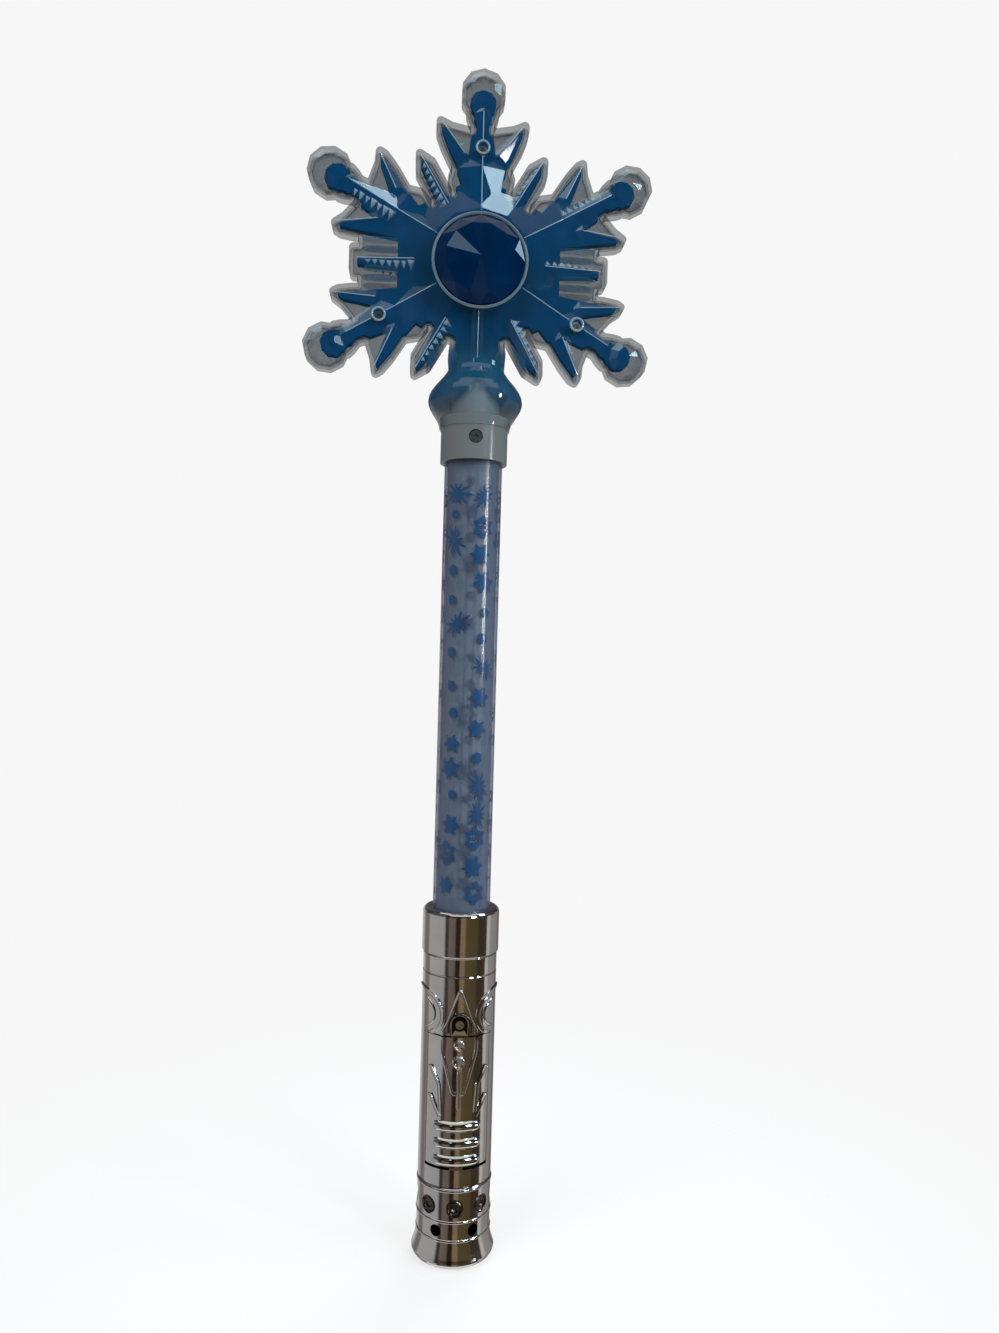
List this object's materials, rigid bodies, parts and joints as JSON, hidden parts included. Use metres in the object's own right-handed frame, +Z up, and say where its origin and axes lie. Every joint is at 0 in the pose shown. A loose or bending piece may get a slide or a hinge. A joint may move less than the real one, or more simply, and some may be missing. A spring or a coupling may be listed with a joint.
{
  "type": "light-up toy wand",
  "caption": "Toy wand with a clear snowflake head and faceted stone, a printed clear tube that lights up, and a plated battery handle with a hinged door and push button.",
  "frame": {"origin": "centre of the foot's underside", "axes": "+Z up along the wand from foot to head, -Y towards the battery door's side, +X across the flake"},
  "size_m": [0.1314, 0.036, 0.45],
  "materials": {
    "clear_shell": "clear polished",
    "blue_insert": "gloss",
    "stone": "faceted gloss",
    "pale_ring": "gloss",
    "screw_steel": "plain",
    "lamp_board": "matt",
    "lamp_lens": "clear",
    "milky_collar": "milky",
    "clear_tube": "clear",
    "printed_film": "printed",
    "wire_cover": "satin",
    "plated": "plated plastic",
    "cell_cover": "plain sleeve",
    "contact_metal": "nickel plated",
    "black_plastic": "matt",
    "green_board": "satin",
    "button_blue": "gloss",
    "plunger_white": "satin"
  },
  "bodies": {
    "wand": {"head_front_shell": "clear_shell", "head_back_shell": "clear_shell", "flake_insert": "blue_insert", "front_gem": "stone", "back_gem": "stone", "front_bezel": "pale_ring", "back_bezel": "pale_ring", "head_screws": "screw_steel", "collar_screw": "screw_steel", "head_led_board": "lamp_board", "head_leds": "lamp_lens", "tube_led": "lamp_lens", "collar": "milky_collar", "shaft_tube": "clear_tube", "print_liner": "printed_film", "lead_wires": "wire_cover", "ferrule": "plated", "barrel_front": "plated", "barrel_back": "plated", "pommel": "plated", "cells": "cell_cover", "contact_springs": "contact_metal", "top_contacts": "contact_metal", "bottom_contacts": "contact_metal", "cell_frame": "black_plastic", "controller_chip": "black_plastic", "switch_case": "black_plastic", "control_board": "green_board"},
    "door": {"battery_door": "plated", "door_screw": "screw_steel"},
    "button": {"push_button": "button_blue", "switch_plunger": "plunger_white"}
  },
  "joints": [
    {"name": "door_tilt", "type": "hinge", "parent": "wand", "child": "door", "pos_m": [0, -0.013, 0.039], "axis": [1, 0, 0], "range_deg": [0, 35]},
    {"name": "button_press", "type": "slide", "parent": "wand", "child": "button", "axis": [0, -1, 0], "range_m": [0, 0.0012], "stiffness_N_per_m": 300}
  ]
}
